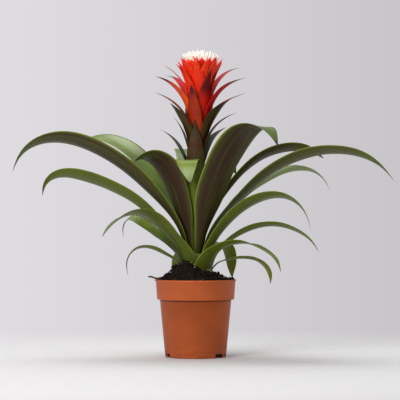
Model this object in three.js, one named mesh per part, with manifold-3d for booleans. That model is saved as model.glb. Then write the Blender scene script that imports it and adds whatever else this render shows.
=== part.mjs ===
// A bromeliad in a plastic nursery pot: strap leaves in a rosette, a leafy
// flower stalk and a funnel of coloured bracts around a dome of small florets.
// Millimetres, +Z up. The origin is the middle of the pot's base, and the
// plant's front faces -Y.
import * as THREE from 'three';
import { mergeVertices } from 'three/addons/utils/BufferGeometryUtils.js';
import Module from 'manifold-3d';

const wasm = await Module();
wasm.setup();

// ---------------------------------------------------------------- dimensions
const GAP = 0.35; // clearance kept between neighbouring pieces

// Pot: a tapered bucket with a deeper collar and a rolled lip.
const POT_HEIGHT = 115;
const POT_BASE_RADIUS = 45.3;
const POT_SHOULDER_RADIUS = 53.2; // body, right under the collar
const POT_SHOULDER_HEIGHT = 85.5;
const COLLAR_FOOT_RADIUS = 57.4;
const RIM_RADIUS = 60;
const LIP_HEIGHT = 3;
const POT_WALL = 1.4;
const POT_FLOOR = 2;
const POT_STEP = POT_SHOULDER_HEIGHT + POT_WALL; // the collar's ledge, inside
const STEP_RISE = 0.6; // the ledge climbs this much towards the collar
const POT_SEGMENTS = 64;
const NOTCH_ANGLES = [-158, -38, -8, 52, 112, 172]; // drain notches, degrees
const NOTCH_SPAN = 24; // degrees of the base edge that one notch takes
const NOTCH_HEIGHT = 5.5;
const NOTCH_DEPTH = 7;

// Potting mix, heaped towards the front left.
const SOIL_EDGE_HEIGHT = 112;
const SOIL_CROWN_HEIGHT = 126;
const SOIL_SEGMENTS = 44;
const SOIL_RINGS = 6;
const HEAPS = [
  { x: -13, y: -37, rise: 15, spread: 13 },
  { x: -33, y: -19, rise: 10, spread: 15 },
];
const CRUMB = 1.2; // how far crumbs lift or lower the surface

// Caudex: the short hidden stem the leaves grow from, and the flower stalk.
const CAUDEX_FOOT = 98;
const CAUDEX_SINK = 1.7; // the caudex stays this far inside the leaf bases
const STALK_RADIUS = 5.2;
const STALK_TOP = 352;
const STALK_LEAN = 6.5; // how far the stalk's top stands towards +X
const LEAN_START = 150;
const STALK_SIDES = 20;
const STALK_CLAD_FROM = 172; // the bare stalk's lowest ring
const STALK_STEP = 36;
const CAUDEX_CONE = [0.66, 0.33, 0]; // rings where the caudex narrows, by leaf

// Leaf bases climb the caudex in a spiral, oldest leaf outermost and lowest.
const SPIRAL_RADIUS = 8;
const SPIRAL_RADIUS_STEP = 0.85;
const SPIRAL_HEIGHT = 160;
const SPIRAL_HEIGHT_STEP = 1.4;
const LEAF_THICKNESS = 1.0;
const LEAF_STATIONS = 15;
const BRACT_THICKNESS = 0.9;
const BRACT_STATIONS = 8;
const EDGE_THINNING = 0.75; // share of its thickness a blade loses at the margin
const CUP_FLATTENING = 0.35; // share of the channel that opens out by the tip
const CHANNEL_SAG = 0.6; // share of the channel's depth below the blade's midline
const SHEATH_REACH = 0.3; // the base's wrap has opened into the blade by here
const BANK_REACH = [0.04, 0.42]; // where along the blade the bank comes in
const TWIST_REACH = [0.45, 1]; // and the twist
const FINE_STEPS = 6; // steps between stations keep the curve's length true

// Floret dome inside the funnel of bracts.
const DOME_FOOT = STALK_TOP + GAP;
const DOME_TOP = 447;
const DOME_RADIUS = 24.4;
const FLORET_LENGTH = 10;
const FLORET_RADIUS = 2.6;
const FLORET_RINGS = [[0, 1], [7.5, 6], [14, 11], [20.5, 16]]; // radius, count

// Leaves from the innermost outwards. az: compass direction of growth in
// degrees from +X; bends: steepness in degrees above level at even steps from
// base to tip; base: width of the sheath; cup: half angle of the channel;
// bank: roll of the whole blade; twist: more roll at the tip; swing: how far
// the blade veers sideways.
const LEAVES = [
  { name: 'leaf_front_upright', az: -124, length: 190, width: 35, base: 15,
    bends: [86, 85, 84, 84, 66, -66, -84], cup: 24, swing: 26 },
  { name: 'leaf_back_inner', az: 58, length: 205, width: 32, base: 15,
    bends: [86, 80, 72, 60, 36, -12, -52] },
  { name: 'leaf_left_inner', az: -157, length: 193, width: 36, base: 15,
    bends: [84, 80, 75, 68, 56, 14, -50], bank: -30 },
  { name: 'leaf_right_broad', az: -58, length: 302, width: 50, base: 14,
    bends: [77, 69, 61, 49, 37, -6, -78], cup: 27, bank: 6, swing: 6 },
  { name: 'leaf_right_high', az: 18, length: 286, width: 26, base: 15,
    bends: [86, 68, 54, 44, 22, -2, -42], bank: 34 },
  { name: 'leaf_back_high', az: 98, length: 240, width: 31, base: 18,
    bends: [86, 80, 72, 60, 38, 0, -44], swing: 4 },
  { name: 'leaf_left_high', az: 147, length: 303, width: 36, base: 18,
    bends: [82, 69, 50, 47, 29, 8, -32], bank: 16 },
  { name: 'leaf_right_long', az: -10, length: 372, width: 33, base: 20,
    bends: [84, 49, 44, 28, 6, -20, -60], bank: 20 },
  { name: 'leaf_left_long', az: -165, length: 375, width: 34, base: 20,
    bends: [86, 56, 46, 32, 16, -22, -80], bank: -26 },
  { name: 'leaf_back_right', az: 78, length: 236, width: 30, base: 20,
    bends: [84, 66, 56, 36, 12, -26, -70], swing: 2 },
  { name: 'leaf_back_left', az: 112, length: 234, width: 30, base: 20,
    bends: [84, 64, 52, 34, 8, -30, -72], swing: -6 },
  { name: 'leaf_right_middle', az: 14, length: 278, width: 32, base: 20,
    bends: [83, 60, 48, 34, 18, -18, -76], bank: -14 },
  { name: 'leaf_right_hanging', az: -30, length: 249, width: 31, base: 28,
    bends: [70, 56, 40, 22, -4, -44, -88], bank: 12, twist: 10 },
  { name: 'leaf_left_middle', az: -178, length: 289, width: 30, base: 22,
    bends: [84, 49, 42, 28, 18, -8, -98], bank: -30 },
  { name: 'leaf_back_low', az: 88, length: 205, width: 28, base: 24,
    bends: [82, 54, 38, 16, -14, -46, -78] },
  { name: 'leaf_left_broad', az: -150, length: 188, width: 34, base: 50,
    bends: [84, 54, 46, 22, -8, -36, -58], bank: -14 },
  { name: 'leaf_left_curled', az: 163, length: 149, width: 28, base: 24,
    bends: [70, 50, 38, 34, 30, -66, -106], bank: 14 },
  { name: 'leaf_right_low', az: -17, length: 208, width: 21, base: 22,
    bends: [66, 44, 28, 10, -14, -34, -68], bank: 20 },
  { name: 'leaf_right_behind', az: 60, length: 142, width: 20, base: 20,
    bends: [64, 40, 24, -8, -52, -84, -76] },
  { name: 'leaf_left_low', az: -170, length: 125, width: 23, base: 22,
    bends: [64, 32, 26, 2, -40, -86, -110], bank: -12 },
  { name: 'leaf_front_low', az: -49, length: 194, width: 26, base: 42,
    bends: [74, 34, 10, 0, -18, -30, -74], bank: 10, twist: 10 },
  { name: 'leaf_right_lowest', az: 8, length: 118, width: 16, base: 15,
    bends: [60, 18, 6, -6, -30, -68, -100], bank: 16 },
  { name: 'leaf_back_lowest', az: 104, length: 122, width: 22, base: 22,
    bends: [66, 30, 12, -10, -36, -62, -84] },
];

// Bracts up the stalk, lowest first. foot: height of the base.
const STALK_BRACTS = [
  { name: 'sheath_back_low', az: 92, foot: 238, length: 92, width: 22,
    bends: [78, 82, 78, 66, 46], tone: 'olive' },
  { name: 'sheath_front_low', az: -98, foot: 250, length: 104, width: 28,
    bends: [75, 82, 85, 85, 84], tone: 'brown' },
  { name: 'sheath_left_low', az: 168, foot: 262, length: 96, width: 20,
    bends: [76, 68, 64, 44, 22], tone: 'olive' },
  { name: 'sheath_right_low', az: 30, foot: 272, length: 89, width: 19,
    bends: [78, 76, 66, 38, 18], tone: 'olive' },
  { name: 'sheath_left_middle', az: 176, foot: 282, length: 84, width: 20,
    bends: [78, 76, 72, 62, 48], tone: 'brown' },
  { name: 'sheath_right_middle', az: -2, foot: 288, length: 99, width: 20,
    bends: [80, 78, 58, 34, 18], tone: 'brown' },
  { name: 'sheath_back_middle', az: 122, foot: 292, length: 90, width: 20,
    bends: [80, 78, 62, 46, 30], tone: 'olive' },
  { name: 'sheath_left_upper', az: -150, foot: 300, length: 90, width: 21,
    bends: [80, 76, 60, 52, 32], tone: 'brown' },
  { name: 'sheath_back_right', az: 64, foot: 303, length: 88, width: 20,
    bends: [80, 77, 60, 42, 26], tone: 'brown' },
  { name: 'sheath_right_broad', az: -30, foot: 305, length: 96, width: 24,
    bends: [76, 78, 60, 42, 20], tone: 'brown' },
  { name: 'sheath_back_upper', az: 108, foot: 312, length: 90, width: 21,
    bends: [78, 77, 60, 44, 28], tone: 'brown' },
  { name: 'sheath_front_upper', az: -108, foot: 311, length: 99, width: 24,
    bends: [74, 78, 75, 68, 62], tone: 'ember' },
  { name: 'sheath_right_top', az: 12, foot: 316, length: 112, width: 19,
    bends: [74, 78, 48, 24, 16], tone: 'ember' },
  { name: 'sheath_left_top', az: -178, foot: 319, length: 102, width: 20,
    bends: [75, 74, 50, 34, 14], tone: 'ember' },
];

// Spreading bracts around the funnel, lowest first.
const HEAD_BRACTS = [
  { name: 'bract_back_right', az: 72, foot: 324, length: 108, width: 22,
    bends: [74, 76, 62, 38, 14], tone: 'crimson' },
  { name: 'bract_left_orange', az: -163, foot: 327, length: 117, width: 23,
    bends: [78, 76, 62, 36, 12], tone: 'orange' },
  { name: 'bract_left_thin', az: 140, foot: 334, length: 118, width: 18,
    bends: [74, 77, 64, 34, -2], tone: 'crimson' },
  { name: 'bract_right_crimson', az: -14, foot: 331, length: 115, width: 24,
    bends: [74, 77, 57, 30, 8], tone: 'crimson' },
  { name: 'bract_front_maroon', az: -66, foot: 336, length: 99, width: 21,
    bends: [77, 82, 68, 56, 46], tone: 'ember' },
  { name: 'bract_back', az: 96, foot: 338, length: 106, width: 21,
    bends: [78, 77, 62, 40, 16], tone: 'red' },
  { name: 'bract_left_red', az: 176, foot: 341, length: 110, width: 19,
    bends: [76, 79, 70, 50, 20], tone: 'red' },
  { name: 'bract_right_red', az: 24, foot: 343, length: 117, width: 19,
    bends: [75, 77, 65, 36, 4], tone: 'crimson' },
  { name: 'bract_left_tall', az: -130, foot: 345, length: 104, width: 18,
    bends: [75, 79, 67, 48, 28], tone: 'red' },
  { name: 'bract_back_tall', az: 88, foot: 346, length: 97, width: 19,
    bends: [78, 79, 69, 56, 42], tone: 'red' },
];
const BRACT_ROOT_RADIUS = 6.4;
const BRACT_BASE_WIDTH = 9.5;

// Upright bracts that close the funnel: an outer ring and an inner ring.
const FUNNEL = [
  { first: -98, foot: 356, length: 95, width: 25, bends: [80, 79, 71, 64, 62] },
  { first: -38, foot: 361, length: 89, width: 22, bends: [86, 81, 73, 66, 66] },
];
const FUNNEL_RING_COUNT = 3;

const COLOURS = {
  pot: 0xac5430, soil: 0x1d1612, bark: 0x3a2a20, stalk: 0x46231e,
  leaf: 0x3f5a2a, olive: 0x4a5230, brown: 0x4b2d22, ember: 0xa2361c,
  orange: 0xe2431d, red: 0xdd2a1c, crimson: 0xc0161f, floret: 0xf3e6d2,
};

// ------------------------------------------------------------------- helpers
const object = new THREE.Group();

function finish(tone, roughness) {
  return new THREE.MeshStandardMaterial({ color: COLOURS[tone], roughness, metalness: 0 });
}

function place(name, geometry, tone, roughness) {
  const mesh = new THREE.Mesh(geometry, finish(tone, roughness));
  mesh.name = name;
  object.add(mesh);
}

function solidOf(geometry) {
  const bare = geometry.clone();
  bare.deleteAttribute('normal');
  bare.deleteAttribute('uv');
  const welded = mergeVertices(bare, 1e-4);
  return new wasm.Manifold(new wasm.Mesh({
    numProp: 3,
    vertProperties: new Float32Array(welded.attributes.position.array),
    triVerts: new Uint32Array(welded.index.array),
  }));
}

function geometryOf(solid) {
  const mesh = solid.getMesh();
  const geometry = new THREE.BufferGeometry();
  geometry.setAttribute('position', new THREE.BufferAttribute(mesh.vertProperties, 3));
  geometry.setIndex(new THREE.BufferAttribute(mesh.triVerts, 1));
  return geometry;
}

// A closed skin over a list of equal rings, with a pole point at the far end. It
// starts in a pole too, or else in a flat cut across a lens-shaped first ring.
function skin(rings, lastPole, firstPole) {
  const count = rings[0].length;
  const half = count / 2;
  const points = [...rings.flat(), lastPole];
  const last = points.length - 1;
  const faces = [];
  if (firstPole) points.push(firstPole);
  for (let i = 0; i < count; i++) {
    const next = (i + 1) % count;
    if (firstPole) faces.push(last + 1, next, i);
    for (let ring = 0; ring < rings.length - 1; ring++) {
      const low = ring * count;
      const high = low + count;
      if (i < half) {
        faces.push(low + i, low + next, high + next);
        faces.push(low + i, high + next, high + i);
      } else { // both sides of a thin blade fold along the same diagonal
        faces.push(low + i, low + next, high + i);
        faces.push(low + next, high + next, high + i);
      }
    }
    const top = (rings.length - 1) * count;
    faces.push(top + i, top + next, last);
  }
  for (let i = 0; i < half && !firstPole; i++) {
    const under = (count - i) % count;
    if (i > 0) faces.push(i, under, under - 1);
    if (i < half - 1) faces.push(i, count - i - 1, i + 1);
  }
  const geometry = new THREE.BufferGeometry().setFromPoints(points);
  geometry.setIndex(faces);
  return geometry;
}

// Smooth value at t (0 to 1) through evenly spaced samples.
function along(samples, t) {
  const curve = new THREE.SplineCurve(samples.map((value, i) => new THREE.Vector2(i, value)));
  return curve.getPoint(t).y;
}

const LEAF_OUTLINE = [0.8, 0.86, 0.96, 1, 0.98, 0.84, 0.56, 0];
const BRACT_OUTLINE = [0.86, 1, 0.98, 0.74, 0.36, 0];
const ACROSS = [-1, -0.5, 0, 0.5, 1]; // stations from one margin to the other

// A strap-shaped blade: a thin channel that follows its bends out from the root.
function blade(spec, outline, stations, thickness) {
  const centre = leanAt(spec.root[1]);
  const spot = new THREE.Vector2(spec.root[0], spec.root[1]); // distance out, height
  const rings = [];
  const baseHalfAngle = spec.base / (2 * spec.root[0]);
  const stride = 1 / (FINE_STEPS * stations);
  const tip = new THREE.Vector3();
  for (let station = 0; station <= stations; station++) {
    const t = station / stations;
    const steep = THREE.MathUtils.degToRad(along(spec.bends, t));
    const facing = THREE.MathUtils.degToRad(spec.az + spec.swing * t * t);
    const out = new THREE.Vector3(Math.cos(facing), Math.sin(facing), 0);
    const across = new THREE.Vector3(Math.sin(facing), -Math.cos(facing), 0);
    const inward = new THREE.Vector3(0, 0, Math.cos(steep)).addScaledVector(out, -Math.sin(steep));
    const middle = new THREE.Vector3(centre, 0, spot.y).addScaledVector(out, spot.x);
    if (station === stations) {
      tip.copy(middle);
      break;
    }
    const roll = THREE.MathUtils.degToRad(
      spec.bank * THREE.MathUtils.smoothstep(t, ...BANK_REACH)
      + spec.twist * THREE.MathUtils.smoothstep(t, ...TWIST_REACH));
    const along3 = new THREE.Vector3().crossVectors(across, inward);
    across.applyAxisAngle(along3, roll);
    inward.applyAxisAngle(along3, roll);
    const blend = THREE.MathUtils.smoothstep(t, 0, SHEATH_REACH);
    const width = THREE.MathUtils.lerp(spec.base, spec.width * along(outline, t), blend);
    const cup = THREE.MathUtils.degToRad(spec.cup) * (1 - CUP_FLATTENING * t);
    const halfAngle = THREE.MathUtils.lerp(baseHalfAngle, cup, blend);
    const radius = width / (2 * halfAngle);
    const sag = CHANNEL_SAG * blend * radius * (1 - Math.cos(halfAngle));
    const point = (u, lift) => {
      const angle = u * halfAngle;
      const rise = lift * thickness * (1 - EDGE_THINNING * u * u) / 2;
      return middle.clone()
        .addScaledVector(across, (radius - rise) * Math.sin(angle))
        .addScaledVector(inward, radius - (radius - rise) * Math.cos(angle) - sag);
    };
    rings.push([
      ...ACROSS.map((u) => point(u, Math.abs(u) === 1 ? 0 : 1)),
      ...ACROSS.slice(1, -1).reverse().map((u) => point(u, -1)),
    ]);
    for (let step = 0; step < FINE_STEPS; step++) {
      const ahead = t + (step + 0.5) * stride;
      const angle = THREE.MathUtils.degToRad(along(spec.bends, ahead));
      spot.x += Math.cos(angle) * spec.length * stride;
      spot.y += Math.sin(angle) * spec.length * stride;
    }
  }
  return skin(rings, tip);
}

// Sideways place of the leaning flower stalk at a height.
function leanAt(height) {
  const climb = Math.max(0, height - LEAN_START) / (STALK_TOP - LEAN_START);
  return STALK_LEAN * climb * climb;
}

// ----------------------------------------------------------------------- pot
function potGeometry() {
  const lipFoot = POT_HEIGHT - LIP_HEIGHT;
  const profile = [
    [0, 0], [POT_BASE_RADIUS - 1, 0], [POT_BASE_RADIUS, 1],
    [POT_SHOULDER_RADIUS, POT_SHOULDER_HEIGHT], [COLLAR_FOOT_RADIUS - 0.4, POT_SHOULDER_HEIGHT],
    [COLLAR_FOOT_RADIUS, POT_SHOULDER_HEIGHT + STEP_RISE], [RIM_RADIUS - 0.9, lipFoot],
    [RIM_RADIUS, lipFoot + 0.5], [RIM_RADIUS, POT_HEIGHT - 0.8], [RIM_RADIUS - 0.8, POT_HEIGHT],
    [RIM_RADIUS - 2.2, POT_HEIGHT], [RIM_RADIUS - 2.7, lipFoot],
    [COLLAR_FOOT_RADIUS - POT_WALL, POT_STEP + STEP_RISE],
    [POT_SHOULDER_RADIUS - POT_WALL, POT_STEP],
    [POT_BASE_RADIUS - POT_WALL, POT_FLOOR + 1], [POT_BASE_RADIUS - POT_WALL - 1, POT_FLOOR],
    [0, POT_FLOOR],
  ];
  const lathe = new THREE.LatheGeometry(
    profile.map(([r, z]) => new THREE.Vector2(r, z)), POT_SEGMENTS);
  lathe.rotateX(Math.PI / 2);
  let pot = solidOf(lathe);
  for (const angle of NOTCH_ANGLES) {
    const half = THREE.MathUtils.degToRad(NOTCH_SPAN / 2);
    const outline = new THREE.Shape();
    outline.absarc(0, 0, POT_BASE_RADIUS + 3, -half, half, false);
    outline.absarc(0, 0, POT_BASE_RADIUS - NOTCH_DEPTH, half, -half, true);
    const cutter = new THREE.ExtrudeGeometry(outline,
      { depth: NOTCH_HEIGHT + 1, bevelEnabled: false, curveSegments: 6 });
    cutter.translate(0, 0, -1);
    cutter.rotateZ(THREE.MathUtils.degToRad(angle));
    pot = pot.subtract(solidOf(cutter));
  }
  return geometryOf(pot);
}

// ---------------------------------------------------------------------- soil
// Inner face of the pot at a height, less the clearance.
function soilRadius(height) {
  const low = POT_BASE_RADIUS - POT_WALL;
  if (height <= POT_STEP) {
    const rise = (height - POT_FLOOR) / (POT_STEP - POT_FLOOR);
    return THREE.MathUtils.lerp(low, POT_SHOULDER_RADIUS - POT_WALL, rise) - GAP;
  }
  const ledge = POT_STEP + STEP_RISE;
  const rise = (height - ledge) / (POT_HEIGHT - LIP_HEIGHT - ledge);
  return THREE.MathUtils.lerp(COLLAR_FOOT_RADIUS - POT_WALL, RIM_RADIUS - 2.7, rise) - GAP;
}

// Uneven surface: slow swells and short crumbs added together.
function crumble(x, y) {
  return 0.5 * Math.sin(x * 0.31 + 1.1) * Math.cos(y * 0.27)
    + 0.5 * Math.sin(x * 0.83 + y * 0.59) * Math.cos(y * 0.91 - x * 0.37);
}

function soilSurface(x, y, crownRadius, edgeRadius) {
  const reach = Math.max(0, (Math.hypot(x, y) - crownRadius) / (edgeRadius - crownRadius));
  const slope = THREE.MathUtils.lerp(SOIL_CROWN_HEIGHT, SOIL_EDGE_HEIGHT, reach ** 0.8);
  let heaped = 0;
  for (const heap of HEAPS) {
    const away = ((x - heap.x) ** 2 + (y - heap.y) ** 2) / (heap.spread ** 2);
    heaped += heap.rise * Math.exp(-away);
  }
  const calm = Math.min(1, (1 - reach) * 4, reach * 4 + 0.25);
  return slope + (heaped + CRUMB * crumble(x, y)) * calm;
}

function caudexProfile(inflate) {
  const lowest = LEAVES.length;
  const foot = [SPIRAL_RADIUS + SPIRAL_RADIUS_STEP * lowest - CAUDEX_SINK,
    SPIRAL_HEIGHT - SPIRAL_HEIGHT_STEP * lowest];
  return [
    [0, CAUDEX_FOOT - inflate], [10 + inflate, CAUDEX_FOOT + 2 - inflate],
    [20 + inflate, 113], [foot[0] + inflate, foot[1] - 4], [foot[0] + inflate, foot[1]],
  ];
}

function soilGeometry() {
  const well = caudexProfile(GAP + 0.15);
  const crownRadius = well[4][0];
  const edgeRadius = soilRadius(SOIL_EDGE_HEIGHT);
  const levels = [
    [POT_BASE_RADIUS - POT_WALL - 2, POT_FLOOR + GAP], [soilRadius(POT_FLOOR + 2) - 0.4, POT_FLOOR + 2],
    [soilRadius(POT_STEP) - 0.4, POT_STEP - 0.6],
    [soilRadius(POT_STEP + 7), POT_STEP + 7], [edgeRadius, SOIL_EDGE_HEIGHT],
  ];
  const rings = [];
  const ringAt = (radius, heightOf) => {
    const ring = [];
    for (let i = 0; i < SOIL_SEGMENTS; i++) {
      const angle = i * 2 * Math.PI / SOIL_SEGMENTS;
      const x = radius * Math.cos(angle);
      const y = radius * Math.sin(angle);
      ring.push(new THREE.Vector3(x, y, heightOf(x, y)));
    }
    rings.push(ring);
  };
  for (const [radius, height] of levels) ringAt(radius, () => height);
  for (let ring = 1; ring <= SOIL_RINGS; ring++) {
    const radius = THREE.MathUtils.lerp(edgeRadius, crownRadius, ring / SOIL_RINGS);
    ringAt(radius, (x, y) => soilSurface(x, y, crownRadius, edgeRadius));
  }
  for (const [radius, height] of well.slice(1, 4).reverse()) ringAt(radius, () => height);
  const floor = new THREE.Vector3(0, 0, POT_FLOOR + GAP);
  const wellFloor = new THREE.Vector3(0, 0, well[0][1]);
  return skin(rings, wellFloor, floor);
}

// -------------------------------------------------------------- caudex, stalk
function stalkGeometry() {
  const levels = [...caudexProfile(0).slice(1)];
  for (const share of CAUDEX_CONE) {
    const index = LEAVES.length * share;
    levels.push([SPIRAL_RADIUS + SPIRAL_RADIUS_STEP * index - CAUDEX_SINK,
      SPIRAL_HEIGHT - SPIRAL_HEIGHT_STEP * index]);
  }
  for (let height = STALK_CLAD_FROM; height < STALK_TOP; height += STALK_STEP) {
    levels.push([STALK_RADIUS, height]);
  }
  levels.push([STALK_RADIUS, STALK_TOP]);
  const rings = levels.map(([radius, height]) => {
    const ring = [];
    for (let i = 0; i < STALK_SIDES; i++) {
      const angle = i * 2 * Math.PI / STALK_SIDES;
      ring.push(new THREE.Vector3(
        leanAt(height) + radius * Math.cos(angle), radius * Math.sin(angle), height));
    }
    return ring;
  });
  return skin(rings, new THREE.Vector3(leanAt(STALK_TOP), 0, STALK_TOP),
    new THREE.Vector3(0, 0, CAUDEX_FOOT));
}

// ------------------------------------------------------------------- florets
function floretGeometry() {
  const profile = [
    [0, DOME_FOOT], [4.6, DOME_FOOT], [5, 362], [6.6, 376], [10, 394], [15, 412],
    [19.6, 424], [DOME_RADIUS - 0.6, 433], [DOME_RADIUS, 436], [22, 441], [14, DOME_TOP - 2], [0, DOME_TOP],
  ];
  const lathe = new THREE.LatheGeometry(profile.map(([r, z]) => new THREE.Vector2(r, z)), 28);
  lathe.rotateX(Math.PI / 2);
  let dome = solidOf(lathe);
  const axis = new THREE.Vector3(0, 0, 1);
  for (const [radius, count] of FLORET_RINGS) {
    for (let i = 0; i < count; i++) {
      const angle = (i + radius * 0.37) * 2 * Math.PI / count;
      const tilt = radius / DOME_RADIUS * 0.5;
      const aim = new THREE.Vector3(
        Math.cos(angle) * Math.sin(tilt), Math.sin(angle) * Math.sin(tilt), Math.cos(tilt));
      const floret = new THREE.ConeGeometry(FLORET_RADIUS, FLORET_LENGTH + 6, 6);
      floret.rotateX(Math.PI / 2);
      floret.applyQuaternion(new THREE.Quaternion().setFromUnitVectors(axis, aim));
      const sink = 9 * (radius / DOME_RADIUS) ** 2;
      floret.translate(radius * Math.cos(angle), radius * Math.sin(angle), DOME_TOP + 2 - sink);
      dome = dome.add(solidOf(floret));
    }
  }
  const geometry = geometryOf(dome);
  geometry.translate(leanAt(STALK_TOP), 0, 0);
  return geometry;
}

// --------------------------------------------------------------------- build
place('pot', potGeometry(), 'pot', 0.5);
place('soil', soilGeometry(), 'soil', 0.95);
place('stalk', stalkGeometry(), 'stalk', 0.5);

// A sliver of bark that lies over the rim at the left.
{
  const outline = new THREE.Shape();
  outline.moveTo(0, 0);
  outline.lineTo(9, -1.4);
  outline.lineTo(16, -1.8);
  outline.lineTo(20.5, -0.6);
  outline.lineTo(19.5, 2.1);
  outline.lineTo(13, 2.3);
  outline.lineTo(5, 1.2);
  const sliver = new THREE.ExtrudeGeometry(outline, { depth: 1.6, bevelEnabled: false });
  sliver.rotateY(THREE.MathUtils.degToRad(3));
  sliver.translate(-70.5, -9, POT_HEIGHT + 2.6);
  place('bark_sliver', sliver, 'bark', 0.9);
}

LEAVES.forEach((leaf, index) => {
  const root = [SPIRAL_RADIUS + SPIRAL_RADIUS_STEP * index,
    SPIRAL_HEIGHT - SPIRAL_HEIGHT_STEP * index];
  const spec = { cup: 34, bank: 0, twist: 0, swing: 0, ...leaf, root };
  place(leaf.name, blade(spec, LEAF_OUTLINE, LEAF_STATIONS, LEAF_THICKNESS), 'leaf', 0.4);
});

function placeBract(bract) {
  const spec = { cup: 44, bank: 0, twist: 0, swing: 0, base: BRACT_BASE_WIDTH, ...bract,
    root: [BRACT_ROOT_RADIUS, bract.foot] };
  place(bract.name, blade(spec, BRACT_OUTLINE, BRACT_STATIONS, BRACT_THICKNESS),
    bract.tone, 0.45);
}

[...STALK_BRACTS, ...HEAD_BRACTS].forEach(placeBract);
FUNNEL.forEach((ring, level) => {
  for (let i = 0; i < FUNNEL_RING_COUNT; i++) {
    placeBract({ ...ring, name: `funnel_bract_${level * FUNNEL_RING_COUNT + i + 1}`,
      az: ring.first + i * 360 / FUNNEL_RING_COUNT, tone: 'red' });
  }
});

place('floret_dome', floretGeometry(), 'floret', 0.6);

export default object;
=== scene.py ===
import math
import random

import bmesh
import bpy
from bpy.props import FloatProperty, FloatVectorProperty, IntProperty, PointerProperty
from mathutils import Euler, Matrix, Vector, noise


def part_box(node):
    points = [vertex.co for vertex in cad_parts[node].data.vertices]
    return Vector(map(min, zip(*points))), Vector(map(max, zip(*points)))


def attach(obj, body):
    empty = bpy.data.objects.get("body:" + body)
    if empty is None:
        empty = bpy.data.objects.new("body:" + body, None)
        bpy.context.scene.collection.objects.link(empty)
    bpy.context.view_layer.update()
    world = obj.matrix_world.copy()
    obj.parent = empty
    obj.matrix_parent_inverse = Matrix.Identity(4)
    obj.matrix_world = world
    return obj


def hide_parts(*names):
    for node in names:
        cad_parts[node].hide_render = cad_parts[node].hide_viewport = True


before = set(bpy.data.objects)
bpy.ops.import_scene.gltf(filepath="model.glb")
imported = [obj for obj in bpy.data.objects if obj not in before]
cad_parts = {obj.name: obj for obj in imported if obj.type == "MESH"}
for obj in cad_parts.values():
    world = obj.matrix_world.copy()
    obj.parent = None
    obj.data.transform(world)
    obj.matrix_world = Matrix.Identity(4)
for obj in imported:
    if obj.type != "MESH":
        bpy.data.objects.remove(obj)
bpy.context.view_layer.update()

bl_info = {
    "name": "Potted Bromeliad",
    "version": (1, 0, 0),
    "blender": (4, 5, 0),
    "location": "View3D > Sidebar > Bromeliad",
    "description": "Builds the leaves, bracts, florets, potting mix and pot of a bromeliad",
    "category": "Add Mesh",
}

MM = 0.001
RING = 8  # points round a blade: five across the upper side, three across the underside
HALF = RING // 2
UNDER = 2.0  # the underside's share of the blade map starts at this across value
SAME_POINT = 1e-6  # corners closer than this are one point
LEAF_FOOT = 15 * MM  # how far a leaf's foot runs on below its CAD blade
BRACT_FOOT = 6 * MM
BRACT_WAVE = 0.5 * MM
MIX_EDGE = 112 * MM  # height at which the potting mix meets the pot's wall
NOTCH_TOP = 9 * MM  # just over the top of the drain notches
COLLAR_SHADE = 84.2 * MM  # middle of the painted shadow band under the pot's collar
GOLDEN_ANGLE = math.radians(137.508)
CAMERA_PLACE = (6.5 * MM, -3.5, 0.233)
CAMERA_LENS = 211.8  # millimetres, over a sensor 36 wide
LIT_POINT = Vector((0, 0, 0.2))  # what every lamp points at

# How brown a leaf's underside is, and how yellow its green is.
LEAF_TONES = {
    "leaf_front_upright": (0.2, 0.5), "leaf_back_inner": (0.5, 0.2),
    "leaf_left_inner": (1.0, 0.05), "leaf_right_broad": (0.9, 0.1),
    "leaf_right_high": (0.75, 0.2), "leaf_back_high": (0.5, 0.2),
    "leaf_left_high": (0.45, 0.3), "leaf_right_long": (0.55, 0.35),
    "leaf_left_long": (0.8, 0.35), "leaf_back_right": (0.4, 0.3),
    "leaf_back_left": (0.4, 0.3), "leaf_right_middle": (0.15, 0.35),
    "leaf_right_hanging": (0.1, 0.5), "leaf_left_middle": (0.25, 0.45),
    "leaf_back_low": (0.2, 0.4), "leaf_left_broad": (0.25, 0.3),
    "leaf_left_curled": (0.1, 0.6), "leaf_right_low": (0.1, 0.5),
    "leaf_right_behind": (0.1, 0.5), "leaf_left_low": (0.1, 0.6),
    "leaf_front_low": (0.15, 0.55), "leaf_right_lowest": (0.1, 0.65),
    "leaf_back_lowest": (0.1, 0.5),
}

# Bracts by colour, from the foot of the stalk upwards.
OLIVE_SHEATHS = ("sheath_back_low", "sheath_left_low", "sheath_right_low",
                 "sheath_back_middle")
BROWN_SHEATHS = ("sheath_front_low", "sheath_left_middle", "sheath_right_middle",
                 "sheath_left_upper", "sheath_back_right", "sheath_right_broad",
                 "sheath_back_upper")
EMBER_BRACTS = ("sheath_front_upper", "sheath_right_top", "sheath_left_top")
MAROON_BRACTS = ("bract_front_maroon",)
ORANGE_BRACTS = ("bract_left_orange",)
CRIMSON_BRACTS = ("bract_back_right", "bract_left_thin", "bract_right_crimson",
                  "bract_right_red")
RED_BRACTS = ("bract_back", "bract_left_red", "bract_left_tall", "bract_back_tall",
              "funnel_bract_1", "funnel_bract_2", "funnel_bract_3",
              "funnel_bract_4", "funnel_bract_5", "funnel_bract_6")

# How many times as broad as its CAD blade a blade is, along its body and at its tip.
LEAF_BREADTH = (1.06, 1.45)
# Leaves whose tips are broader than the others'.
FULL_LEAVES = {"leaf_left_broad": 1.9, "leaf_left_curled": 1.6, "leaf_left_inner": 1.7,
               "leaf_right_low": 1.7, "leaf_right_hanging": 1.7}
ERECT_BREADTH = (1.06, 1.35)
ARCHING_BREADTH = (1.18, 2.3)
# How the names of the erect bracts begin; the other bracts arch over.
ERECT = ("sheath_front", "bract_front", "funnel_bract", "bract_back", "bract_left_tall")


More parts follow.
